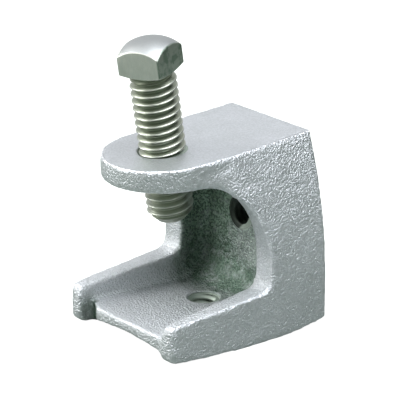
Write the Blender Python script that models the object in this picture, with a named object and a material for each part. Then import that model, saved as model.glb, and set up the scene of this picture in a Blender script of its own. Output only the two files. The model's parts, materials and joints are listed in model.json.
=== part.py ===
"""Beam clamp: a C-shaped iron casting with a square-head set screw in its upper jaw.

Z = 0 is the underside of the two feet, +Y is the flat back, -Y the open side of the jaw, and
X = 0 is the middle of the casting. The set screw leans forward in the jaw. Its local Z runs
along its axis, with 0 where the axis meets the jaw's flat top.
"""

import math

import bmesh
import bpy
from mathutils import Matrix, Vector

MM = 0.001

# The casting seen from the side, in millimetres.
BACK_Y = 20.25
FOOT_FRONT_Y = -19.15
JAW_TOP_Z = 39.05
JAW_TOP_SLOPE = math.radians(3.2)
JAW_UNDER_Z = 33.65
JAW_CENTRE_Y = -7.85
JAW_RADIUS = 12.4
THROAT_WALL_Y = 6.25
THROAT_WALL_Z = 16.0
RIB_TOP_Z = 8.54
RIB_TOP_SLOPE = 0.085
THROAT_CORNER_RADIUS = 2.8
HEEL_START_Y = 5.5
HEEL_RISE = 1.8
TOE_START_Y = -3.0
TOE_RISE = 0.6
FOOT_CORNER_RADIUS = 1.8

# Half widths. The base widens towards the back, and the web leans in towards the jaw.
BASE_HALF_WIDTH = 17.28
BASE_DRAFT = 0.032
LEAN_LOW_Z = 10.0
LEAN_HIGH_Z = 40.6
CORNER_POWER = 24.0
FRONT_STEPS = 36

# The recess between the two side ribs, and the shallow channel under the floor.
RECESS_HALF_WIDTH = 11.5
RECESS_DRAFT = 0.06
FLOOR_Z = 5.1
RECESS_WALL_Y = 12.45
RECESS_SCOOP = 7.0
RECESS_CEILING_Y = -6.0
RECESS_CEILING_Z = 33.4
RECESS_BEND_Z = 24.0
RECESS_CORNER = 2.4
FLOOR_SETBACK = 0.95
NOTCH_HALF_WIDTH = 13.2
NOTCH_CORNER = 0.8
NOTCH_HEIGHT = 7.6
POCKET_START_X = -9.0
POCKET_DEPTH = 2.7
CHANNEL_HEIGHT = 2.8
CHANNEL_EDGE_HEIGHT = 2.0
CHANNEL_FALL = 0.8
CHANNEL_FOOT_X = 12.9
CHANNEL_STEPS = 8

# The two 1/4 in tapped holes, at their thread's outer diameter.
TAPPED_RADIUS = 3.175
COUNTERSINK_RADIUS = 3.5
FLOOR_HOLE_Y = 2.65
BACK_HOLE_Z = 21.25

# The 3/8-16 set screw: 9/32 in head, 1 1/4 in long below it.
SCREW_TILT = math.radians(8.87)
THREAD_RADIUS = 4.7625
THREAD_PITCH = 1.5875
THREAD_DEPTH = 0.974
THREAD_STEPS = 16
THREAD_START = -19.39
TIP_Z = -14.8
TIP_RADIUS = 2.9
TIP_CONE_Z = -12.8
NECK_RADIUS = 3.7
HEAD_LOW_Z = 16.95
HEAD_CORNER_LOW_Z = 17.45
HEAD_CORNER_HIGH_Z = 21.15
HEAD_HIGH_Z = 23.95
HEAD_SQUARE = 9.45
HEAD_TURN = math.radians(20.8)
HEAD_BLOCK = 12.0
CROWN_OVERHANG = 0.5
HOLE_CLEARANCE = 0.3

# How far a blank or a cutter reaches past the shape it makes.
OVERLAP = 6.0


def clear_scene():
    for obj in list(bpy.data.objects):
        bpy.data.objects.remove(obj, do_unlink=True)


def metal(name, colour, roughness, metallic):
    material = bpy.data.materials.new(name)
    material.use_nodes = True
    shader = material.node_tree.nodes["Principled BSDF"]
    shader.inputs["Base Color"].default_value = (*colour, 1.0)
    shader.inputs["Roughness"].default_value = roughness
    shader.inputs["Metallic"].default_value = metallic
    return material


def add_object(name, bm, material=None):
    bmesh.ops.recalc_face_normals(bm, faces=bm.faces)
    bmesh.ops.scale(bm, vec=(MM, MM, MM), verts=bm.verts)
    mesh = bpy.data.meshes.new(name)
    bm.to_mesh(mesh)
    bm.free()
    obj = bpy.data.objects.new(name, mesh)
    bpy.context.scene.collection.objects.link(obj)
    if material:
        mesh.materials.append(material)
    return obj


def add_cutter(name, bm):
    cutter = add_object(name, bm)
    cutter.hide_render = True
    cutter.display_type = "WIRE"
    return cutter


def combine(target, tool, operation):
    modifier = target.modifiers.new(tool.name, "BOOLEAN")
    modifier.operation = operation
    modifier.solver = "EXACT"
    modifier.object = tool


def arc(centre, radii, start, end, steps):
    """Points of an ellipse's arc in a plane, both ends included. Angles are in degrees."""
    points = []
    for i in range(steps + 1):
        angle = math.radians(start + (end - start) * i / steps)
        y = centre[0] + radii[0] * math.cos(angle)
        z = centre[1] + radii[1] * math.sin(angle)
        points.append((y, z))
    return points


def prism_x(points, half_width):
    """An outline in Y and Z, extruded both ways along X."""
    bm = bmesh.new()
    side = bm.faces.new([bm.verts.new((-half_width, y, z)) for y, z in points])
    made = bmesh.ops.extrude_face_region(bm, geom=[side])
    moved = [v for v in made["geom"] if isinstance(v, bmesh.types.BMVert)]
    bmesh.ops.translate(bm, vec=(2 * half_width, 0, 0), verts=moved)
    return bm


def half_width(y, z):
    """The casting's half width at this height, behind the jaw's round front."""
    base = BASE_HALF_WIDTH + BASE_DRAFT * y
    up = max((z - LEAN_LOW_Z) / (LEAN_HIGH_Z - LEAN_LOW_Z), 0.0)
    return base + (JAW_RADIUS - base) * up**2


def side_outline():
    """The casting's C shape seen from the side, as (Y, Z) points."""
    slope = math.tan(JAW_TOP_SLOPE)
    heel_length = BACK_Y - HEEL_START_Y
    heel_radius = (heel_length**2 + HEEL_RISE**2) / (2 * HEEL_RISE)
    heel_angle = math.degrees(math.asin(heel_length / heel_radius))
    heel = (HEEL_START_Y, heel_radius)
    points = arc(heel, (heel_radius, heel_radius), -90, -90 + heel_angle, 8)
    points.append((BACK_Y, JAW_TOP_Z + slope * (BACK_Y - JAW_CENTRE_Y)))
    front = JAW_CENTRE_Y - JAW_RADIUS - 3
    points.append((front, JAW_TOP_Z + slope * (front - JAW_CENTRE_Y)))
    points.append((front, JAW_UNDER_Z))
    throat_width = THROAT_WALL_Y - JAW_CENTRE_Y
    throat_height = JAW_UNDER_Z - THROAT_WALL_Z
    throat = (JAW_CENTRE_Y, THROAT_WALL_Z)
    points += arc(throat, (throat_width, throat_height), 90, 0, 24)
    corner_y = THROAT_WALL_Y - THROAT_CORNER_RADIUS
    rib_z = RIB_TOP_Z + RIB_TOP_SLOPE * (corner_y - FOOT_FRONT_Y)
    corner = (corner_y, rib_z + THROAT_CORNER_RADIUS)
    radii = (THROAT_CORNER_RADIUS, THROAT_CORNER_RADIUS)
    points += arc(corner, radii, 0, -90, 6)
    foot = (FOOT_FRONT_Y + FOOT_CORNER_RADIUS, RIB_TOP_Z - FOOT_CORNER_RADIUS)
    radii = (FOOT_CORNER_RADIUS, FOOT_CORNER_RADIUS)
    points += arc(foot, radii, 90, 180, 6)
    toe = (FOOT_FRONT_Y + FOOT_CORNER_RADIUS, TOE_RISE + FOOT_CORNER_RADIUS)
    points += arc(toe, radii, 180, 270, 6)
    points.append((TOE_START_Y, 0.0))
    return points


def plan_ring(z, power, front_y):
    """One ring of the side walls: straight flanks, and a front between a half-round and a square."""
    flank = [BACK_Y + 2, THROAT_WALL_Y, 0.0]
    points = [(half_width(y, z), y) for y in flank]
    points[0] = (points[0][0], BACK_Y + 2)
    length = JAW_CENTRE_Y - front_y
    round_front = power < 3
    for i in range(FRONT_STEPS + 1):
        angle = math.pi * i / FRONT_STEPS
        c = math.cos(angle)
        s = math.sin(angle)
        x = math.copysign(abs(c) ** (2 / power), c)
        y = JAW_CENTRE_Y - length * s ** (2 / power)
        width = JAW_RADIUS if round_front else half_width(y, z)
        points.append((width * x, y))
    points += [(-x, y) for x, y in reversed(points[:3])]
    return points


def make_walls():
    """The closed shape that holds the casting's width at every height."""
    bm = bmesh.new()
    jaw_front = JAW_CENTRE_Y - JAW_RADIUS
    levels = [(z, CORNER_POWER, FOOT_FRONT_Y) for z in (-2.0, LEAN_LOW_Z, 13.0)]
    levels += [(z, 2.0, jaw_front) for z in (17.5, 21.0, 24.5, 28.0, 31.5, 35.0, 38.5, 42.0)]
    rings = []
    for z, power, front_y in levels:
        ring = [bm.verts.new((x, y, z)) for x, y in plan_ring(z, power, front_y)]
        rings.append(ring)
    for low, high in zip(rings, rings[1:]):
        for i in range(len(low)):
            bm.faces.new((low[i - 1], low[i], high[i], high[i - 1]))
    bm.faces.new(rings[0])
    bm.faces.new(rings[-1])
    bmesh.ops.triangulate(bm, faces=bm.faces)
    return add_cutter("side_walls", bm)


def make_recess():
    """The hollow between the ribs: flat floor, scooped corner, back wall and curved ceiling."""
    scoop = (RECESS_WALL_Y - RECESS_SCOOP, FLOOR_Z + RECESS_SCOOP)
    points = [(FOOT_FRONT_Y - 4, FLOOR_Z)]
    points += arc(scoop, (RECESS_SCOOP, RECESS_SCOOP), -90, 0, 10)
    ceiling = (RECESS_CEILING_Y, RECESS_BEND_Z)
    radii = (RECESS_WALL_Y - RECESS_CEILING_Y, RECESS_CEILING_Z - RECESS_BEND_Z)
    points += arc(ceiling, radii, 0, 90, 14)
    points.append((FOOT_FRONT_Y - 4, RECESS_CEILING_Z))
    bm = prism_x(points, RECESS_HALF_WIDTH)
    corner_edges = [e for e in bm.edges if is_side_corner(e)]
    bmesh.ops.bevel(bm, geom=corner_edges, offset=RECESS_CORNER, segments=4, profile=0.5,
                    affect="EDGES", material=-1)
    for vert in bm.verts:
        wider = RECESS_DRAFT * (RECESS_WALL_Y - vert.co.y)
        vert.co.x += math.copysign(wider, vert.co.x)
    return add_cutter("recess", bm)


def is_side_corner(edge):
    """An edge along the recess's back outline, on one of its two side planes."""
    a, b = (v.co for v in edge.verts)
    on_side = abs(abs(a.x) - RECESS_HALF_WIDTH) < 1e-6 and abs(a.x - b.x) < 1e-6
    behind = min(a.y, b.y) > THROAT_WALL_Y - 1.5
    return on_side and behind


def is_upright(edge):
    a, b = (v.co for v in edge.verts)
    return abs(a.x - b.x) < 1e-6 and abs(a.y - b.y) < 1e-6


def make_notch():
    """Sets the floor's front edge back between the rib ends, deeper beside the rib at -X."""
    front = FOOT_FRONT_Y - 2
    back = FOOT_FRONT_Y + FLOOR_SETBACK
    width = NOTCH_HALF_WIDTH
    corners = [(-width, front), (width, front), (width, back), (POCKET_START_X, back),
               (-width, back + POCKET_DEPTH)]
    bm = bmesh.new()
    bottom = bm.faces.new([bm.verts.new((x, y, -1.0)) for x, y in corners])
    made = bmesh.ops.extrude_face_region(bm, geom=[bottom])
    moved = [v for v in made["geom"] if isinstance(v, bmesh.types.BMVert)]
    bmesh.ops.translate(bm, vec=(0, 0, NOTCH_HEIGHT), verts=moved)
    inner = [e for e in bm.edges if is_upright(e) and e.verts[0].co.y > front + 1]
    bmesh.ops.bevel(bm, geom=inner, offset=NOTCH_CORNER, segments=3, profile=0.5,
                    affect="EDGES", material=-1)
    return add_cutter("floor_notch", bm)


def make_channel():
    """The shallow arched channel under the floor, between the two feet. It falls to the back."""
    outline = [(-CHANNEL_FOOT_X, -1.0), (-CHANNEL_FOOT_X, 0.0)]
    rise = CHANNEL_HEIGHT - CHANNEL_EDGE_HEIGHT
    for i in range(CHANNEL_STEPS + 1):
        x = -RECESS_HALF_WIDTH + 2 * RECESS_HALF_WIDTH * i / CHANNEL_STEPS
        outline.append((x, CHANNEL_HEIGHT - rise * (x / RECESS_HALF_WIDTH) ** 2))
    outline += [(CHANNEL_FOOT_X, 0.0), (CHANNEL_FOOT_X, -1.0)]
    bm = bmesh.new()
    end = bm.faces.new([bm.verts.new((x, FOOT_FRONT_Y - 3, z)) for x, z in outline])
    made = bmesh.ops.extrude_face_region(bm, geom=[end])
    moved = [v for v in made["geom"] if isinstance(v, bmesh.types.BMVert)]
    length = BACK_Y - FOOT_FRONT_Y + 6
    bmesh.ops.translate(bm, vec=(0, length, -CHANNEL_FALL), verts=moved)
    return add_cutter("under_channel", bm)


def turned(profile, steps):
    """A solid of revolution about local Z, from (radius, Z) points that start and end on the axis."""
    bm = bmesh.new()
    verts = [bm.verts.new((r, 0, z)) for r, z in profile]
    edges = [bm.edges.new(pair) for pair in zip(verts, verts[1:])]
    bmesh.ops.spin(bm, geom=verts + edges, cent=(0, 0, 0), axis=(0, 0, 1),
                   angle=math.tau, steps=steps, use_merge=True)
    bmesh.ops.remove_doubles(bm, verts=bm.verts, dist=1e-5)
    return bm


def make_tapped_hole(name, location, rotation):
    """A through hole along local Z with a countersunk mouth at local Z = 0."""
    depth = COUNTERSINK_RADIUS - TAPPED_RADIUS
    mouth = COUNTERSINK_RADIUS + 2.0
    profile = [(0, -12), (TAPPED_RADIUS, -12), (TAPPED_RADIUS, -depth), (mouth, 2.0), (0, 2.0)]
    cutter = add_cutter(name, turned(profile, 24))
    cutter.location = Vector(location) * MM
    cutter.rotation_euler = rotation
    return cutter


def make_jaw_hole():
    radius = THREAD_RADIUS + HOLE_CLEARANCE
    cutter = add_cutter("jaw_hole", turned([(0, -12), (radius, -12), (radius, 6), (0, 6)], 32))
    cutter.location = Vector((0, JAW_CENTRE_Y, JAW_TOP_Z)) * MM
    cutter.rotation_euler = (SCREW_TILT, 0, 0)
    return cutter


def make_body(material):
    blank = prism_x(side_outline(), BASE_HALF_WIDTH + OVERLAP)
    body = add_object("clamp_body", blank, material)
    combine(body, make_walls(), "INTERSECT")
    combine(body, make_recess(), "DIFFERENCE")
    combine(body, make_notch(), "DIFFERENCE")
    combine(body, make_channel(), "DIFFERENCE")
    floor_hole = make_tapped_hole("floor_hole", (0, FLOOR_HOLE_Y, FLOOR_Z), (0, 0, 0))
    combine(body, floor_hole, "DIFFERENCE")
    place = (0, RECESS_WALL_Y, BACK_HOLE_Z)
    back_hole = make_tapped_hole("back_hole", place, (math.radians(90), 0, 0))
    combine(body, back_hole, "DIFFERENCE")
    combine(body, make_jaw_hole(), "DIFFERENCE")
    body.data.shade_smooth()
    body.data.set_sharp_from_angle(angle=math.radians(35))
    return body


def thread_row(index):
    """(radius, height) of one row of the thread: root, root, crest, crest, one pitch a turn."""
    root = THREAD_RADIUS - THREAD_DEPTH
    rows = [(root, 0.0), (root, 0.25), (THREAD_RADIUS, 0.5625), (THREAD_RADIUS, 0.6875)]
    radius, share = rows[index % 4]
    return radius, (index // 4 + share) * THREAD_PITCH


def make_thread():
    """A right-hand helical ridge on a solid core, longer than the screw at both ends."""
    bm = bmesh.new()
    turns = math.ceil((HEAD_LOW_Z + 3 - THREAD_START) / THREAD_PITCH)
    rows = []
    for j in range(4 * turns + 1):
        radius, height = thread_row(j)
        row = []
        for i in range(THREAD_STEPS):
            angle = math.tau * i / THREAD_STEPS
            z = THREAD_START + height + THREAD_PITCH * i / THREAD_STEPS
            row.append(bm.verts.new((radius * math.cos(angle), radius * math.sin(angle), z)))
        rows.append(row)
    for low, high in zip(rows, rows[1:]):
        for i in range(THREAD_STEPS - 1):
            bm.faces.new((low[i], low[i + 1], high[i + 1], high[i]))
    for j in range(len(rows) - 5):
        bm.faces.new((rows[j][-1], rows[j + 4][0], rows[j + 5][0], rows[j + 1][-1]))
    bottom = rows[0] + [rows[j][0] for j in (4, 3, 2, 1)]
    top = rows[-1] + [rows[-1 - j][-1] for j in (1, 2, 3, 4)]
    for loop, z in ((bottom, THREAD_START), (top, top_height(turns))):
        centre = bm.verts.new((0, 0, z))
        for a, b in zip(loop, loop[1:] + loop[:1]):
            bm.faces.new((a, b, centre))
    return bm


def top_height(turns):
    return THREAD_START + turns * THREAD_PITCH


def make_blank():
    """The shank's turned outline: cupped tip, chamfer, full shank and a neck inside the head."""
    outer = THREAD_RADIUS + 0.3
    cone = outer - TIP_RADIUS
    profile = [
        (0, TIP_Z + 0.9),
        (1.9, TIP_Z),
        (TIP_RADIUS, TIP_Z),
        (outer, TIP_Z + cone * (TIP_CONE_Z - TIP_Z) / (THREAD_RADIUS - TIP_RADIUS)),
        (outer, HEAD_LOW_Z - 1.5),
        (NECK_RADIUS, HEAD_LOW_Z - 0.6),
        (NECK_RADIUS, HEAD_LOW_Z + 1.2),
        (0, HEAD_LOW_Z + 1.2),
    ]
    return add_cutter("screw_blank", turned(profile, 32))


def make_crown():
    """The turned outline that domes the head's top and tapers the corners below."""
    corner = HEAD_SQUARE / math.sqrt(2)
    drop = HEAD_HIGH_Z - HEAD_CORNER_HIGH_Z
    sphere = (corner**2 + drop**2) / (2 * drop)
    reach = corner + CROWN_OVERHANG
    profile = [(0, HEAD_LOW_Z), (THREAD_RADIUS, HEAD_LOW_Z)]
    taper = (HEAD_CORNER_LOW_Z - HEAD_LOW_Z) / (corner - THREAD_RADIUS)
    profile.append((reach, HEAD_LOW_Z + taper * (reach - THREAD_RADIUS)))
    for i in range(9):
        radius = reach * (1 - i / 8)
        profile.append((radius, HEAD_HIGH_Z - sphere + math.sqrt(sphere**2 - radius**2)))
    return add_cutter("head_crown", turned(profile, 32))


def make_head():
    bm = bmesh.new()
    bmesh.ops.create_cube(bm, size=1.0)
    bmesh.ops.scale(bm, vec=(HEAD_SQUARE, HEAD_SQUARE, HEAD_BLOCK), verts=bm.verts)
    bmesh.ops.translate(bm, vec=(0, 0, (HEAD_LOW_Z + HEAD_HIGH_Z) / 2), verts=bm.verts)
    turn = Matrix.Rotation(HEAD_TURN, 3, "Z")
    bmesh.ops.rotate(bm, cent=(0, 0, 0), matrix=turn, verts=bm.verts)
    head = add_cutter("screw_head", bm)
    combine(head, make_crown(), "INTERSECT")
    return head


def make_screw(material):
    """The set screw stands on an empty on its own axis, so it slides along local Z."""
    axis = bpy.data.objects.new("screw_axis", None)
    axis.location = Vector((0, JAW_CENTRE_Y, JAW_TOP_Z)) * MM
    axis.rotation_euler = (SCREW_TILT, 0, 0)
    axis.empty_display_size = 0.01
    bpy.context.scene.collection.objects.link(axis)
    screw = add_object("set_screw", make_thread(), material)
    blank = make_blank()
    head = make_head()
    combine(screw, blank, "INTERSECT")
    combine(screw, head, "UNION")
    crown = bpy.data.objects["head_crown"]
    for obj in (screw, blank, head, crown):
        obj.parent = axis
    screw.data.shade_smooth()
    screw.data.set_sharp_from_angle(angle=math.radians(30))
    return screw


def main():
    clear_scene()
    casting = metal("zinc_plated_iron", (0.52, 0.55, 0.55), 0.5, 0.85)
    bright = metal("bright_zinc", (0.66, 0.66, 0.60), 0.3, 1.0)
    make_body(casting)
    make_screw(bright)


main()
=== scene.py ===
# %% [markdown]
# # A beam clamp, from a plain solid to a plated casting
#
# A beam clamp is one C-shaped iron casting and one square-head set screw. The casting hooks over
# the edge of a steel beam, and the screw pinches the beam against the two ribs of the base. The
# solids of both pieces are loaded first. They are right in size and place, but they have hard
# corners and flat facets. This lesson gives them what a foundry and a plating shop would give
# them: rounded corners, a sandy skin, cut threads and a coat of zinc.

# %% Load the frame
import json
import math

import bmesh
import bpy
from mathutils import Matrix, Vector, noise


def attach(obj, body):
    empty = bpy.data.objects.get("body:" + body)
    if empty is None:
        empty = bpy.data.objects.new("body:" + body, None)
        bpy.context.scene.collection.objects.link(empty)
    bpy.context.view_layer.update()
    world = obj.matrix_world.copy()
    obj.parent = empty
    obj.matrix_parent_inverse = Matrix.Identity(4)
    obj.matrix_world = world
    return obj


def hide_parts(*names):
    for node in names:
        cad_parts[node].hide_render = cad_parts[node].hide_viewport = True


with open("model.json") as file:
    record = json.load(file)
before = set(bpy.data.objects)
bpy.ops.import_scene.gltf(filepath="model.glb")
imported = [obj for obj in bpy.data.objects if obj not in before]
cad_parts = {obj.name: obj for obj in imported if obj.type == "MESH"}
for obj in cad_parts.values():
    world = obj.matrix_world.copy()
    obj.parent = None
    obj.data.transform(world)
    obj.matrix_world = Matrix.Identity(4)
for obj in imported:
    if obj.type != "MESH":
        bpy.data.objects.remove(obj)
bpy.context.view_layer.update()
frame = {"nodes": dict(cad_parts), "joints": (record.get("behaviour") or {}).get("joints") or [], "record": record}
MM = 0.001
print("nodes:", sorted(frame["nodes"]))

# %% [markdown]
# ## Places that everything else follows
#
# The screw leans forward in the jaw. Its joint gives the direction of its axis, so the lean isn't
# typed in again. The tapped holes of the floor and the back wall are stated in the record as
# boxes, and the middle of a box is a point on its hole's axis.

# %% Axes of the screw and the tapped holes
JAW_CENTRE = Vector((0.0, -7.85, 39.05))
joint = frame["joints"][0]
screw_up = -Vector(joint["axis"]).normalized()
screw_lean = math.atan2(-screw_up.y, screw_up.z)
SCREW_PLACE = Matrix.Translation(JAW_CENTRE) @ Matrix.Rotation(screw_lean, 4, "X")
print("screw leans", round(math.degrees(screw_lean), 2), "degrees")


def opening_centre(name):
    """The middle of a stated opening, in millimetres."""
    for opening in frame["record"]["physics"]["openings"]:
        if opening["name"] == name:
            low, high = opening["box_m"]
            return (Vector(low) + Vector(high)) / 2 / MM
    raise KeyError(name)


FLOOR_HOLE = opening_centre("floor_hole")
BACK_HOLE = opening_centre("back_hole")
print("floor hole at", FLOOR_HOLE[:], "back hole at", BACK_HOLE[:])

# %% [markdown]
# ## The camera
#
# A long lens far away keeps the verticals almost parallel, as in a catalogue picture. The camera
# looks at a point a little in front of the middle of the clamp, from the front right and from
# slightly above.

# %% Camera
VIEW_AZIMUTH = math.radians(51.03)
VIEW_ELEVATION = math.radians(19.22)
VIEW_DISTANCE = 540.54
VIEW_POINT = Vector((7.24, -4.15, 29.58))
LENS = 244.7

back = Vector((
    math.sin(VIEW_AZIMUTH) * math.cos(VIEW_ELEVATION),
    -math.cos(VIEW_AZIMUTH) * math.cos(VIEW_ELEVATION),
    math.sin(VIEW_ELEVATION),
))
camera = bpy.data.objects.new("camera", bpy.data.cameras.new("camera"))
camera.data.lens = LENS
camera.data.sensor_width = 36.0
camera.data.clip_start = 0.01
camera.data.clip_end = 20.0
camera.location = (VIEW_POINT + back * VIEW_DISTANCE) * MM
camera.rotation_euler = (math.pi / 2 - VIEW_ELEVATION, 0, VIEW_AZIMUTH)
bpy.context.scene.collection.objects.link(camera)
bpy.context.scene.camera = camera
print("camera at", [round(v, 4) for v in camera.location])

# %% [markdown]
# ## Small tools for meshes
#
# Every piece is modelled in millimetres in a bmesh, because round numbers are easy to read, and
# becomes an object in metres at the end. The object itself stays at the origin, and its place is
# in its mesh.

# %% From a bmesh to an object and back


def to_object(name, bm):
    """A new object in metres from a bmesh in millimetres, which is used up."""
    bmesh.ops.scale(bm, vec=(MM, MM, MM), verts=bm.verts)
    mesh = bpy.data.meshes.new(name)
    bm.to_mesh(mesh)
    bm.free()
    obj = bpy.data.objects.new(name, mesh)
    bpy.context.scene.collection.objects.link(obj)
    return obj


def to_bmesh(obj):
    """A bmesh in millimetres from an object's mesh in metres."""
    bm = bmesh.new()
    bm.from_mesh(obj.data)
    bmesh.ops.scale(bm, vec=(1 / MM, 1 / MM, 1 / MM), verts=bm.verts)
    return bm


def store(obj, bm):
    """Puts a bmesh in millimetres back into its object, and uses it up."""
    bmesh.ops.scale(bm, vec=(MM, MM, MM), verts=bm.verts)
    bm.to_mesh(obj.data)
    bm.free()
    obj.data.update()


def apply_modifiers(obj):
    """Replaces the mesh with what its modifiers make of it."""
    graph = bpy.context.evaluated_depsgraph_get()
    mesh = bpy.data.meshes.new_from_object(obj.evaluated_get(graph))
    obj.modifiers.clear()
    obj.data = mesh
    print(obj.name, "has", len(mesh.polygons), "faces")


def boolean(obj, tool, operation):
    """Combines obj with tool, which is used up."""
    modifier = obj.modifiers.new("boolean", "BOOLEAN")
    modifier.operation = operation
    modifier.solver = "MANIFOLD"
    modifier.object = tool
    apply_modifiers(obj)
    bpy.data.objects.remove(tool, do_unlink=True)


# %% [markdown]
# ## The pattern of the casting
#
# A foundry casts this part without its threads and drills them afterwards. The same order gives
# the best mesh here. First the bores are closed: the faces of each bore's wall are deleted and
# both mouths are capped. What is left is the shape of the wooden pattern, with all its corners
# still hard.

# %% Close the bores


def distance_to_line(point, start, direction):
    offset = point - start
    return (offset - direction * offset.dot(direction)).length


def close_bore(bm, start, direction, radius):
    """Takes away a bore's wall, out to this radius, and caps both of its mouths."""
    wall = []
    for face in bm.faces:
        reach = max(distance_to_line(v.co, start, direction) for v in face.verts)
        if reach < radius and abs(face.normal.dot(direction)) < 0.9:
            wall.append(face)
    bmesh.ops.delete(bm, geom=wall, context="FACES")
    rims = [e for e in bm.edges if e.is_boundary]
    caps = bmesh.ops.holes_fill(bm, edges=rims, sides=0)["faces"]
    print("bore wall of", len(wall), "faces closed with", len(caps), "caps")


casting = bpy.data.objects.new("plated_casting", frame["nodes"]["clamp_body"].data.copy())
casting.data.materials.clear()
bpy.context.scene.collection.objects.link(casting)
pattern = to_bmesh(casting)
bmesh.ops.remove_doubles(pattern, verts=pattern.verts, dist=0.001)
close_bore(pattern, JAW_CENTRE, screw_up, 5.3)
close_bore(pattern, FLOOR_HOLE, Vector((0, 0, 1)), 3.7)
close_bore(pattern, BACK_HOLE, Vector((0, 1, 0)), 3.7)
store(casting, pattern)

# %% [markdown]
# ## The mould rounds every corner
#
# A Bevel on this shape would have to cope with corners where five faces meet. A voxel remesh
# treats the solid as a block of small cubes and skins it with even quads instead, and a few
# passes of smoothing then melt the corners exactly as a sand mould does. The number of passes
# sets the radius, so the thick lower edge of the jaw and the inner edges of the ribs and the
# web get many, and the sharp back edges few.

# %% Remesh and soften
VOXEL = 0.33
PASSES = {"everywhere": 4, "jaw_top": 8, "jaw_rim": 24, "rib_front": 6, "inner_edge": 22}

remesh = casting.modifiers.new("even_skin", "REMESH")
remesh.mode = "VOXEL"
remesh.voxel_size = VOXEL * MM
apply_modifiers(casting)


def soften(bm, passes, inside):
    """Smooths the points for which inside is true, this many times."""
    verts = [v for v in bm.verts if inside(v.co)]
    for _ in range(passes):
        bmesh.ops.smooth_vert(bm, verts=verts, factor=0.5, use_axis_x=True, use_axis_y=True,
                              use_axis_z=True)
    print("softened", len(verts), "points", passes, "times")


def on_jaw_rim(co):
    """The lower edge of the jaw's round front and sides."""
    return 31.0 < co.z < 36.6 and co.y < 2.0 and (abs(co.x) > 8.0 or co.y < -15.0)


def on_jaw_top(co):
    """The upper edge of the jaw, and not the sharp edge at the back."""
    return co.z > 37.0 and co.y < 18.0


def on_rib_front(co):
    """The front ends of the two ribs."""
    return co.y < -15.5 and co.z < 12.0


def on_inner_edge(co):
    """Where the tops of the ribs and the front of the web meet the recess."""
    on_rib = 6.6 < co.z < 12.0 and co.y < 6.0
    on_web = 12.0 < co.z < 32.0 and 0.0 < co.y < 8.5
    return 11.0 < abs(co.x) < 15.0 and (on_rib or on_web)


skin = to_bmesh(casting)
soften(skin, PASSES["everywhere"], lambda co: True)
soften(skin, PASSES["jaw_top"], on_jaw_top)
soften(skin, PASSES["jaw_rim"], on_jaw_rim)
soften(skin, PASSES["rib_front"], on_rib_front)
soften(skin, PASSES["inner_edge"], on_inner_edge)

# %% [markdown]
# ## How far does each corner stand out?
#
# Corners are painted bright, partly for wear on the plating and partly as painted highlight, and hollows are
# painted darker, so the finish has to know which is which. Where a point stands out above the average of its
# neighbours the skin is convex, and where it lies below it is concave. That number is stored on each point for the
# material.

# %% Measure the curvature of the skin


def bend(vert):
    """How far this point stands out above its neighbours, per millimetre of edge."""
    around = [edge.other_vert(vert).co for edge in vert.link_edges]
    middle = sum(around, Vector()) / len(around)
    length = sum((co - vert.co).length for co in around) / len(around)
    return (vert.co - middle).dot(vert.normal) / length


skin.normal_update()
skin.verts.ensure_lookup_table()
corner_layer = skin.verts.layers.float.new("corner")
bends = [bend(v) for v in skin.verts]
for vert in skin.verts:
    near = [bends[edge.other_vert(vert).index] for edge in vert.link_edges]
    vert[corner_layer] = (bends[vert.index] + sum(near)) / (len(near) + 1)
print("corners from", round(min(bends), 3), "to", round(max(bends), 3))

# %% [markdown]
# ## Sand leaves lumps
#
# The sand of the mould leaves a skin that is never quite flat. Lumps wider than a millimetre are
# moved into the mesh itself, so that the outline shows them. The finer grain is left to the
# material. The top of the jaw comes from the smooth side of the mould and stays flatter. One
# broad lump stands on the recess's back wall, as where sand breaks away from a core.

# %% Lumps of the sand mould
LUMP_WIDTH = 1.3
LUMP_HEIGHT = 0.055
SMOOTH_TOP = 0.25
RECESS_WALL_Y = 12.45
WALL_LUMP = Vector((4.6, RECESS_WALL_Y, 10.6))
WALL_LUMP_WIDTH = 2.2
WALL_LUMP_HEIGHT = 0.8


def sandiness(vert):
    """1 on the sandy skin, and less on the smooth top of the jaw."""
    return SMOOTH_TOP if vert.normal.z > 0.9 and vert.co.z > 35.0 else 1.0


for vert in skin.verts:
    away = (vert.co - WALL_LUMP).length / WALL_LUMP_WIDTH
    if away < 3.0:
        vert.co += vert.normal * WALL_LUMP_HEIGHT * math.exp(-away * away)
    wave = noise.noise(vert.co / LUMP_WIDTH) + 0.5 * noise.noise(vert.co / (LUMP_WIDTH / 2))
    vert.co += vert.normal * wave * LUMP_HEIGHT * sandiness(vert)
store(casting, skin)

# %% [markdown]
# ## Threads
#
# A thread is one ridge wound round a rod. The ridge's outline over one pitch is drawn once, and
# a spin that also climbs one pitch per turn winds it up. The edges of neighbouring turns meet
# and are merged. Both ends are closed with a fan to a point on the axis. The same rod makes the
# screw and, slightly larger, the tap that cuts the thread of each hole.

# %% Helical rod
STEPS_PER_TURN = 64
RIDGE = [
    (0.00, 0.0), (0.17, 0.0), (0.23, 0.05), (0.54, 0.90), (0.575, 0.98), (0.60, 1.0),
    (0.65, 1.0), (0.675, 0.98), (0.71, 0.90), (0.95, 0.12), (1.00, 0.0),
]


def close_end(bm, loop, height):
    """Closes an open end with a fan to a point on the axis."""
    made = bmesh.ops.extrude_edge_only(bm, edges=loop)["geom"]
    verts = [v for v in made if isinstance(v, bmesh.types.BMVert)]
    bmesh.ops.pointmerge(bm, verts=verts, merge_co=(0, 0, height))


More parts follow.
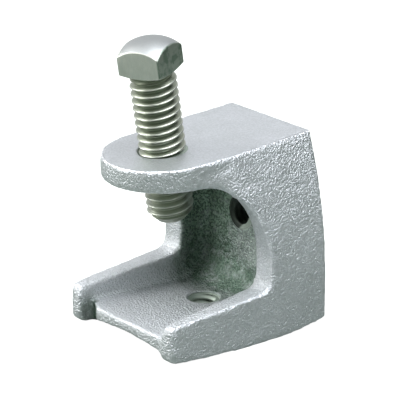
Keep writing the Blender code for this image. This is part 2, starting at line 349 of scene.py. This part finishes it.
def helical_rod(radius, depth, pitch, low, turns):
    """A closed right-hand threaded rod round the Z axis, in millimetres."""
    bm = bmesh.new()
    verts = []
    for share, lift in RIDGE:
        verts.append(bm.verts.new((radius - depth * (1 - lift), 0, low + share * pitch)))
    edges = [bm.edges.new(pair) for pair in zip(verts, verts[1:])]
    bmesh.ops.spin(bm, geom=verts + edges, cent=(0, 0, 0), axis=(0, 0, 1),
                   dvec=(0, 0, pitch / STEPS_PER_TURN), angle=math.tau * turns,
                   steps=STEPS_PER_TURN * turns, use_merge=False, use_duplicate=False)
    bmesh.ops.remove_doubles(bm, verts=bm.verts, dist=0.005)
    rims = [e for e in bm.edges if e.is_boundary]
    middle = low + pitch * (turns + 1) / 2
    close_end(bm, [e for e in rims if e.verts[0].co.z < middle], low)
    close_end(bm, [e for e in rims if e.verts[0].co.z > middle], low + pitch * (turns + 1))
    bmesh.ops.recalc_face_normals(bm, faces=bm.faces)
    return bm


def turned(profile, steps):
    """A solid turned on a lathe, from (radius, height) points that start and end on the axis."""
    bm = bmesh.new()
    verts = [bm.verts.new((radius, 0, height)) for radius, height in profile]
    edges = [bm.edges.new(pair) for pair in zip(verts, verts[1:])]
    bmesh.ops.spin(bm, geom=verts + edges, cent=(0, 0, 0), axis=(0, 0, 1), angle=math.tau,
                   steps=steps, use_merge=True, use_duplicate=False)
    bmesh.ops.remove_doubles(bm, verts=bm.verts, dist=0.001)
    bmesh.ops.recalc_face_normals(bm, faces=bm.faces)
    return bm


# %% [markdown]
# ## Drill and tap the casting
#
# The casting's holes are cut after it was cast, so they are cut last here too and keep crisp
# rims. Each hole takes a countersink and then the tap. The two 1/4 in holes have 20 threads to
# the inch and the jaw's 3/8 in hole has 16, in step with the set screw.

# %% Tapped holes
INCH = 25.4
QUARTER_RADIUS = 0.125 * INCH
QUARTER_PITCH = INCH / 20
SCREW_RADIUS = 0.1875 * INCH
SCREW_PITCH = INCH / 16
SCREW_DEPTH = 0.974
SCREW_THREAD_START = -19.38
TAP_CLEARANCE = 0.09
FLOOR_Z = 5.1


def place(bm, matrix):
    bmesh.ops.transform(bm, matrix=matrix, verts=bm.verts)
    return bm


def countersink(mouth, throat):
    """A cone under a straight mouth, round local Z, with the rim at height 0."""
    drop = mouth - throat
    over = 2.5
    profile = [(0, -drop), (throat, -drop), (mouth, 0), (mouth + over, over), (0, over)]
    return turned(profile, 96)


def quarter_tap(low, turns):
    return helical_rod(QUARTER_RADIUS, 0.68, QUARTER_PITCH, low, turns)


floor_place = Matrix.Translation((FLOOR_HOLE.x, FLOOR_HOLE.y, FLOOR_Z))
boolean(casting, to_object("floor_sink", place(countersink(3.6, 3.15), floor_place)), "DIFFERENCE")
boolean(casting, to_object("floor_tap", place(quarter_tap(-7.0, 8), floor_place)), "DIFFERENCE")
back_place = (Matrix.Translation((BACK_HOLE.x, RECESS_WALL_Y, BACK_HOLE.z))
              @ Matrix.Rotation(math.pi / 2, 4, "X"))
boolean(casting, to_object("back_sink", place(countersink(3.25, 3.1), back_place)), "DIFFERENCE")
boolean(casting, to_object("back_tap", place(quarter_tap(-10.4, 10), back_place)), "DIFFERENCE")
jaw_sink = place(countersink(4.92, 4.7), SCREW_PLACE)
boolean(casting, to_object("jaw_sink", jaw_sink), "DIFFERENCE")
jaw_tap = helical_rod(SCREW_RADIUS + TAP_CLEARANCE, SCREW_DEPTH, SCREW_PITCH,
                      SCREW_THREAD_START + 4 * SCREW_PITCH, 12)
boolean(casting, to_object("jaw_tap", place(jaw_tap, SCREW_PLACE)), "DIFFERENCE")

# %% [markdown]
# ## The set screw's shank
#
# The shank is the same helical rod, cut to length by a turned blank: the blank's cone makes the
# chamfer and the cup at the tip, and its neck runs up into the head.

# %% Threaded shank
TIP_Z = -14.8
TIP_RADIUS = 2.9
TIP_CONE_Z = -12.8
NECK_RADIUS = 3.75
HEAD_LOW_Z = 16.95

outer = SCREW_RADIUS + 0.3
cone_share = (outer - TIP_RADIUS) / (SCREW_RADIUS - TIP_RADIUS)
blank_profile = [
    (0, TIP_Z + 1.0), (1.2, TIP_Z + 0.8), (2.1, TIP_Z + 0.12), (2.35, TIP_Z),
    (TIP_RADIUS, TIP_Z), (outer, TIP_Z + cone_share * (TIP_CONE_Z - TIP_Z)),
    (outer, HEAD_LOW_Z - 1.6), (NECK_RADIUS, HEAD_LOW_Z - 0.55), (NECK_RADIUS, HEAD_LOW_Z + 1.2),
    (0, HEAD_LOW_Z + 1.2),
]
shank_rod = helical_rod(SCREW_RADIUS, SCREW_DEPTH, SCREW_PITCH, SCREW_THREAD_START, 25)
screw = to_object("bright_set_screw", shank_rod)
boolean(screw, to_object("blank", turned(blank_profile, 96)), "INTERSECT")

# %% [markdown]
# ## The square head
#
# The head is forged: a square block whose top is a shallow dome, so each side ends in an arc. A
# grid takes the dome's height point by point, a copy of it becomes the underside, and a bridge
# between their borders makes the four sides. Then all outer edges get a small bevel, which is
# what catches the light.

# %% Domed head
HEAD_SQUARE = 9.45
HEAD_CORNER_HIGH_Z = 21.15
HEAD_HIGH_Z = 23.95
HEAD_CORNER_LOW_Z = 17.45
HEAD_TURN = math.radians(20.8)
HEAD_GRID = 30
HEAD_BEVEL = 0.2

corner_radius = HEAD_SQUARE / math.sqrt(2)
dome_drop = HEAD_HIGH_Z - HEAD_CORNER_HIGH_Z
dome_radius = (corner_radius**2 + dome_drop**2) / (2 * dome_drop)


def dome_height(co):
    return HEAD_HIGH_Z - dome_radius + math.sqrt(dome_radius**2 - co.x**2 - co.y**2)


def under_height(co):
    """Flat out to the thread's width, then rising to the corners."""
    out = max(co.xy.length - SCREW_RADIUS, 0.0) / (corner_radius - SCREW_RADIUS)
    return HEAD_LOW_Z + (HEAD_CORNER_LOW_Z - HEAD_LOW_Z) * out


def is_border(edge):
    return edge.is_boundary


head_bm = bmesh.new()
bmesh.ops.create_grid(head_bm, x_segments=HEAD_GRID, y_segments=HEAD_GRID, size=HEAD_SQUARE / 2)
top_faces = list(head_bm.faces)
copied = bmesh.ops.duplicate(head_bm, geom=top_faces)["geom"]
under_verts = {v for v in copied if isinstance(v, bmesh.types.BMVert)}
under_verts |= {v for f in copied if isinstance(f, bmesh.types.BMFace) for v in f.verts}
for vert in head_bm.verts:
    vert.co.z = under_height(vert.co) if vert in under_verts else dome_height(vert.co)
rims = [e for e in head_bm.edges if e.is_boundary]
bmesh.ops.bridge_loops(head_bm, edges=rims)
bmesh.ops.recalc_face_normals(head_bm, faces=head_bm.faces)
head_bm.normal_update()
sharp = [e for e in head_bm.edges if e.calc_face_angle(0.0) > math.radians(35)]
bmesh.ops.bevel(head_bm, geom=sharp, offset=HEAD_BEVEL, segments=3, profile=0.5, affect="EDGES",
                material=-1)
place(head_bm, Matrix.Rotation(HEAD_TURN, 4, "Z"))
print("head", len(head_bm.faces), "faces")
boolean(screw, to_object("head", head_bm), "UNION")

screw_bm = to_bmesh(screw)
place(screw_bm, SCREW_PLACE)
store(screw, screw_bm)

# %% [markdown]
# ## A little language for shaders
#
# A finish is arithmetic on patterns: a grain times a mask plus a colour. The class below wraps a
# shader socket so that `+`, `-`, `*` and `/` each add a Math node, and one method adds any other
# node from its type, its settings and its inputs.

# %% Shader tools


class Socket:
    """A shader output that arithmetic works on."""

    def __init__(self, finish, output):
        self.finish = finish
        self.output = output

    def math(self, operation, first, second, clamp=False):
        settings = {"operation": operation, "use_clamp": clamp}
        return self.finish.node("ShaderNodeMath", settings, {0: first, 1: second})

    def __add__(self, other):
        return self.math("ADD", self, other)

    def __radd__(self, other):
        return self.math("ADD", other, self)

    def __sub__(self, other):
        return self.math("SUBTRACT", self, other)

    def __rsub__(self, other):
        return self.math("SUBTRACT", other, self)

    def __mul__(self, other):
        return self.math("MULTIPLY", self, other)

    def __rmul__(self, other):
        return self.math("MULTIPLY", other, self)

    def __truediv__(self, other):
        return self.math("DIVIDE", self, other)

    def clamped(self):
        return self.math("ADD", self, 0.0, clamp=True)


class Finish:
    """A material being built, with a Principled shader at its end."""

    def __init__(self, name):
        self.material = bpy.data.materials.new(name)
        self.material.use_nodes = True
        self.tree = self.material.node_tree
        self.shader = self.tree.nodes["Principled BSDF"]

    def fill(self, node, inputs):
        for key, value in inputs.items():
            socket = node.inputs[key]
            if isinstance(value, Socket):
                self.tree.links.new(value.output, socket)
            else:
                socket.default_value = value

    def node(self, kind, settings=None, inputs=None, output=0):
        made = self.tree.nodes.new(kind)
        for key, value in (settings or {}).items():
            if key == "stops":
                self.set_stops(made.color_ramp, value)
            else:
                setattr(made, key, value)
        self.fill(made, inputs or {})
        return Socket(self, made.outputs[output])

    def set_stops(self, ramp, stops):
        while len(ramp.elements) < len(stops):
            ramp.elements.new(0.5)
        for element, (position, colour) in zip(ramp.elements, stops):
            element.position = position
            element.color = (*colour, 1.0)

    def millimetres(self):
        """Object coordinates in millimetres."""
        place = self.node("ShaderNodeTexCoord", output="Object")
        return self.node("ShaderNodeVectorMath", {"operation": "SCALE"},
                         {0: place, "Scale": 1 / MM})

    def part(self, vector, letter):
        """One component of a vector."""
        return self.node("ShaderNodeSeparateXYZ", {}, {0: vector}, letter)

    def stretched(self, where, factors):
        return self.node("ShaderNodeVectorMath", {"operation": "MULTIPLY"},
                         {0: where, 1: factors})

    def noise(self, where, scale, detail=2.0, roughness=0.5):
        return self.node("ShaderNodeTexNoise", {},
                         {"Vector": where, "Scale": scale, "Detail": detail,
                          "Roughness": roughness}, "Fac")

    def band(self, value, low, high):
        """0 below low and 1 above high, with a smooth step between."""
        return self.node("ShaderNodeMapRange", {"interpolation_type": "SMOOTHSTEP"},
                         {"Value": value, "From Min": low, "From Max": high})

    def mix(self, factor, first, second):
        settings = {"data_type": "RGBA", "clamp_factor": True}
        first = first if isinstance(first, Socket) else (*first, 1.0)
        second = second if isinstance(second, Socket) else (*second, 1.0)
        return self.node("ShaderNodeMix", settings, {0: factor, 6: first, 7: second}, 2)

    def bump(self, height, distance=MM, strength=1.0):
        return self.node("ShaderNodeBump", {},
                         {"Height": height, "Distance": distance, "Strength": strength}, "Normal")

    def dot(self, vector, direction):
        """How far a vector reaches in this direction."""
        return self.node("ShaderNodeVectorMath", {"operation": "DOT_PRODUCT"},
                         {0: vector, 1: direction}, "Value")

    def near_axis(self, where, start, direction, radius):
        """1 within this radius of a hole's axis, and 0 outside."""
        offset = self.node("ShaderNodeVectorMath", {"operation": "SUBTRACT"},
                           {0: where, 1: start})
        out = self.node("ShaderNodeVectorMath", {"operation": "CROSS_PRODUCT"},
                        {0: offset, 1: direction})
        reach = self.node("ShaderNodeVectorMath", {"operation": "LENGTH"}, {0: out}, "Value")
        return 1.0 - self.band(reach, radius - 0.05, radius + 0.15)


# %% [markdown]
# ## Zinc on a sand casting
#
# Zinc plating on rough iron is a satin metal, between white and a greenish grey. Its skin has three sizes of
# detail: soft lumps, a grain of about half a millimetre, and tiny bright and dark specks. All of them are noise
# patterns of different sizes, laid over Object coordinates in millimetres. The curvature measured before says
# where a corner is painted bright, partly for wear and partly as painted highlight, and where a hollow is painted
# darker.

# %% Patterns of the casting's skin
GRAIN_SIZE = 0.42
iron = Finish("zinc_on_cast_iron")
where = iron.millimetres()
across, along, height = (iron.part(where, letter) for letter in "XYZ")
grain = iron.noise(where, 1 / GRAIN_SIZE, 2.0, 0.55)
fine = iron.noise(where, 2.6 / GRAIN_SIZE, 1.0, 0.5)
lumps = iron.noise(where, 0.55, 2.0, 0.5)
patches = iron.noise(where, 0.16, 3.0, 0.6)
mottle = iron.noise(where, 0.5, 3.0, 0.7)

corner = iron.node("ShaderNodeAttribute", {"attribute_name": "corner"}, output="Fac")
# Corners: partly worn plating, partly painted highlight. Hollows: painted darker.
worn_and_highlight = iron.band(corner, 0.03, 0.16)
hollow = iron.band(0.0 - corner, 0.02, 0.12)
print("casting's patterns use", len(iron.tree.nodes), "nodes")

# %% [markdown]
# ## Where the plating is thin, and painted shade in the recess
#
# Zinc is plated with an electric current, and the current hardly reaches into a deep recess. The dark green in the
# recess is partly such a thin coat and partly painted shade, standing in for the shade under the jaw and between
# the webs. One mask marks the recess between the two webs, stronger on the floor and at the far side, and the
# mottle breaks it up. It is eased in the middle of the back wall, where light falls, and its colour is darker low
# down, where the lamps light it more. A faint part of it runs forward between the ribs as painted shade, and the
# small pocket at the front end of the far rib is painted dark as painted shade too.

# %% Thin plating and painted shade
# Thin coat and painted shade of the recess.
between_webs = 1.0 - iron.band(across * across, 11.9**2, 12.9**2)
deep = iron.band(along, 1.0, 9.0) * (1.0 - iron.band(along, 15.0, 17.0))
below_top = 1.0 - iron.band(height, 34.5, 36.0)
recess = between_webs * deep * below_top * (0.95 + 0.05 * iron.band(height, 7.0, 20.0))
# Less painted shade in the middle of the back wall, where light falls.
near_side = iron.band(across, -6.0, 1.0) * iron.band(height, 9.0, 13.0)
recess = recess * (0.35 + mottle * 1.3) * (1.0 - 0.35 * near_side)

# Painted shade blotches on the floor between the ribs.
between_ribs = between_webs * iron.band(along, -14.0, 2.0) * (1.0 - iron.band(height, 9.0, 12.0))
shade_blotches = between_ribs * (1.0 - deep) * iron.band(mottle, 0.4, 0.6) * 0.16

# Painted shade at the front end of the far rib.
pocket_shade = iron.band(across, -14.2, -12.2) * (1.0 - iron.band(across, -9.5, -9.0))
pocket_shade = pocket_shade * (1.0 - iron.band(along, -16.0, -14.9)) * (1.0 - iron.band(height, 4.0, 7.4))
on_floor = iron.band(across, -11.8, -11.2) * iron.band(height, 4.8, 5.0)
# Thin coat and painted shade together.
thin_coat_and_shade = (recess + shade_blotches + pocket_shade * (1.0 - on_floor)).clamped()
# Colour of the thin coat and painted shade, darker low down where the lamps light more.
dull_coat_and_shade = iron.mix(iron.band(height, 6.0, 20.0), (0.10, 0.18, 0.12), (0.24, 0.36, 0.26))
dull_coat_and_shade = iron.mix(iron.band(grain, 0.40, 0.60), (0.03, 0.08, 0.04), dull_coat_and_shade)

# %% [markdown]
# ## Drilled and tapped after casting
#
# The walls of the holes were cut by a drill and a tap, so they have no sand grain. The distance from a hole's axis
# marks them. The back hole looks almost black, so its walls are painted near black as painted shade, apart from
# the lower part of its rim, which keeps the machined colour. That near black is painted shade and not a known
# finish.

# %% Machined holes
bored = iron.near_axis(where, FLOOR_HOLE, (0, 0, 1), 3.25) * (1.0 - iron.band(height, 9.0, 11.0))
bored = bored + iron.near_axis(where, BACK_HOLE, (0, 1, 0), 3.6) * iron.band(along, 9.0, 11.0)
bored = bored + iron.near_axis(where, JAW_CENTRE, screw_up, 5.0) * iron.band(height, 30.0, 32.0)
bored = bored.clamped()
low_rim = iron.band(across - height + BACK_HOLE.z, 2.6, 3.4)
# Painted shade inside the back hole, left off its lower rim.
inside = iron.band(along, 11.0, 12.0) * (1.0 - low_rim * (1.0 - iron.band(along, 13.4, 14.0)))
machined_and_shaded = iron.mix(inside, (0.40, 0.46, 0.40), (0.05, 0.06, 0.05))

# %% [markdown]
# ## The layers come together
#
# Colour is built up like paint, from the plain zinc, through the thin coat with its painted shade and the darker
# hollows, to the bright corners on top, which are partly wear and partly painted highlight. The relief is weaker
# on the smooth top of the jaw and on the jaw's round front, and there is none in the holes.

# %% Finish of the casting
normal_z = iron.part(iron.node("ShaderNodeTexCoord", output="Normal"), "Z")
smooth_top = iron.band(normal_z, 0.85, 0.97) * iron.band(height, 35.0, 36.0)
jaw_front = iron.band(height, 31.5, 33.5) * (1.0 - iron.band(along, 2.0, 9.0))
sandy = (1.0 - 0.7 * smooth_top) * (1.0 - bored) * (1.0 - 0.3 * jaw_front)

tone = (grain - 0.5) * 1.2 + (patches - 0.5) * 0.5 + 0.5
speck = iron.band(fine, 0.60, 0.70) * sandy
plated = iron.mix(tone.clamped(), (0.52, 0.55, 0.55), (0.80, 0.82, 0.85))
# Thin coat and painted shade over the plain zinc.
plated = iron.mix(thin_coat_and_shade * 0.9, plated, dull_coat_and_shade)
plated = iron.mix(speck * (0.6 - 0.45 * thin_coat_and_shade), plated, (0.92, 0.94, 0.96))
# Hollows are painted darker.
plated = iron.mix(hollow * 0.4, plated, (0.36, 0.42, 0.38))
# Bright corners: partly worn plating, partly painted highlight.
plated = iron.mix(worn_and_highlight * 0.6, plated, (0.92, 0.93, 0.96))
plated = iron.mix(bored * 0.95, plated, machined_and_shaded)
relief = (grain * 0.40 + fine * 0.12 + lumps * 0.15) * sandy
iron.fill(iron.shader, {
    "Base Color": plated,
    "Roughness": 0.45 - worn_and_highlight * 0.1 + (grain - 0.5) * 0.15 + bored * 0.2,
    "Metallic": 0.95,
    "Normal": iron.bump(relief),
})
casting.data.materials.clear()
casting.data.materials.append(iron.material)
print("casting's finish has", len(iron.tree.nodes), "nodes")

# %% [markdown]
# ## Bright zinc on the screw
#
# The screw is rolled and forged steel under thin bright zinc, slightly yellow. It is smoother than the casting and
# mirrors the room, so its threads show strong light and dark lines. Its grooves are painted darker as painted
# shade, most of all above the jaw. The head is forged, so it is duller: faint streaks run down its sides, and its
# dome is painted a darker, cooler grey as painted shade. One side of the head is painted darker than the lights
# alone make it.

# %% Parts of the screw
bright = Finish("bright_zinc")
where = bright.millimetres()
cloud = bright.noise(where, 0.5, 3.0, 0.6)
scuff = bright.noise(where, 3.5, 3.0, 0.6)
streaks = bright.noise(bright.stretched(where, (2.2, 2.2, 0.4)), 1.0, 3.0, 0.6)

above_jaw = bright.dot(where, screw_up) - JAW_CENTRE.dot(screw_up)
forged = bright.band(above_jaw, 16.6, 17.0)
# Painted shade in the thread's grooves, stronger above the jaw.
groove_shade = bright.near_axis(where, JAW_CENTRE, screw_up, 4.5) * (1.0 - forged)
groove_shade = groove_shade * (0.35 + 0.35 * bright.band(above_jaw, -6.0, 0.0))
facing_up = bright.dot(bright.node("ShaderNodeTexCoord", output="Normal"), screw_up)
# The dome is painted darker and cooler as painted shade.
dome = forged * bright.band(facing_up, 0.7, 0.85)

side_normal = (SCREW_PLACE.to_3x3() @ Matrix.Rotation(HEAD_TURN, 3, "Z")).col[0]
side = bright.dot(where, side_normal) - JAW_CENTRE.dot(side_normal)
# One side of the head is painted darker.
dark_side = forged * bright.band(side, 4.35, 4.6) * (0.5 + 0.4 * bright.band(cloud, 0.4, 0.6))
print("darkened side of the head faces", [round(v, 3) for v in side_normal])

# %% Finish of the screw
zinc = bright.mix(cloud, (0.56, 0.59, 0.52), (0.74, 0.75, 0.69))
# Painted shade in the grooves.
zinc = bright.mix(groove_shade, zinc, (0.20, 0.23, 0.15))
zinc = bright.mix(forged * bright.band(streaks, 0.3, 0.65) * 0.25, zinc, (0.48, 0.53, 0.49))
zinc = bright.mix((1.0 - forged) * 0.3, zinc, (0.36, 0.40, 0.31))
# Painted shade on the dome.
zinc = bright.mix(dome * 0.7, zinc, (0.34, 0.355, 0.375))
# The darker side of the head.
zinc = bright.mix(dark_side, zinc, (0.16, 0.23, 0.17))
bright.fill(bright.shader, {
    "Base Color": zinc,
    "Roughness": 0.30 + scuff * 0.14 + forged * 0.12,
    "Metallic": 1.0,
    "Normal": bright.bump(scuff * 0.02 + forged * (scuff * 0.04 + streaks * 0.02)),
})
screw.data.materials.clear()
screw.data.materials.append(bright.material)
print("screw's finish has", len(bright.tree.nodes), "nodes")

# %% [markdown]
# ## Smooth and sharp
#
# Smooth shading hides the facets, and edges above a set angle stay sharp, so that the rims of the
# holes and the crests of the threads keep their lines.

# %% Shading and bodies
SHARP_ANGLE = math.radians(40)

for obj in (casting, screw):
    obj.data.shade_smooth()
    obj.data.set_sharp_from_angle(angle=SHARP_ANGLE)
    triangles = sum(len(polygon.vertices) - 2 for polygon in obj.data.polygons)
    print(obj.name, "has", triangles, "triangles")

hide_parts("clamp_body")
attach(casting, "clamp_body")
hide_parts("set_screw")
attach(screw, "set_screw")

# %% [markdown]
# ## Floor and light
#
# The clamp stands on a plain floor that looks pure white but reflects little light, so the
# metal keeps its dark tones, as it does in front of a distant backdrop. Metal shows what it
# mirrors: the light at the left front fills the faces of the throat, the overhead light rakes the
# sandy side and brings out its grain, the wide backdrop behind is what the flat top reflects,
# and the light at the right lifts the side and the far rib.

# %% Studio
floor = bpy.data.objects.new("floor", bpy.data.meshes.new("floor"))
floor_bm = bmesh.new()
bmesh.ops.create_grid(floor_bm, x_segments=1, y_segments=1, size=3.0)
floor_bm.to_mesh(floor.data)
floor_bm.free()
bpy.context.scene.collection.objects.link(floor)
paper = Finish("white_paper")
seen = paper.node("ShaderNodeLightPath", output="Is Camera Ray")
paper.fill(paper.shader, {
    "Base Color": (0.18, 0.21, 0.185, 1.0),
    "Roughness": 0.9,
    "Emission Color": paper.mix(seen, (0.0, 0.0, 0.0), (1.0, 1.0, 1.0)),
    "Emission Strength": 1.0,
})
floor.data.materials.append(paper.material)


def soft_light(name, azimuth, elevation, distance, size, power, colour):
    """A square light that looks at the clamp from this direction. Distances are in metres."""
    a, e = math.radians(azimuth), math.radians(elevation)
    direction = Vector((math.sin(a) * math.cos(e), -math.cos(a) * math.cos(e), math.sin(e)))
    data = bpy.data.lights.new(name, "AREA")
    data.size = size
    data.energy = power
    data.color = colour
    light = bpy.data.objects.new(name, data)
    light.location = Vector((0, 0, 0.03)) + direction * distance
    light.rotation_euler = direction.to_track_quat("Z", "Y").to_euler()
    bpy.context.scene.collection.objects.link(light)
    return light


# Azimuth and elevation in degrees, distance and size in metres, and power in watts.
soft_light("overhead", 82, 70, 0.5, 0.45, 4.0, (0.93, 0.95, 1.0))
soft_light("left", -46, 31, 0.9, 0.7, 9.6, (1.0, 1.0, 1.0))
soft_light("backdrop", -128, 25, 1.0, 1.5, 5.2, (0.95, 0.96, 1.0))
soft_light("right", 84, 44, 1.0, 0.8, 3.0, (0.96, 0.98, 1.0))
world = bpy.data.worlds.new("studio")
world.use_nodes = True
world.node_tree.nodes["Background"].inputs["Color"].default_value = (0.76, 0.85, 0.78, 1.0)
world.node_tree.nodes["Background"].inputs["Strength"].default_value = 0.05
bpy.context.scene.world = world
bpy.context.scene.view_settings.view_transform = "Standard"

# %% Finish
bpy.context.view_layer.update()
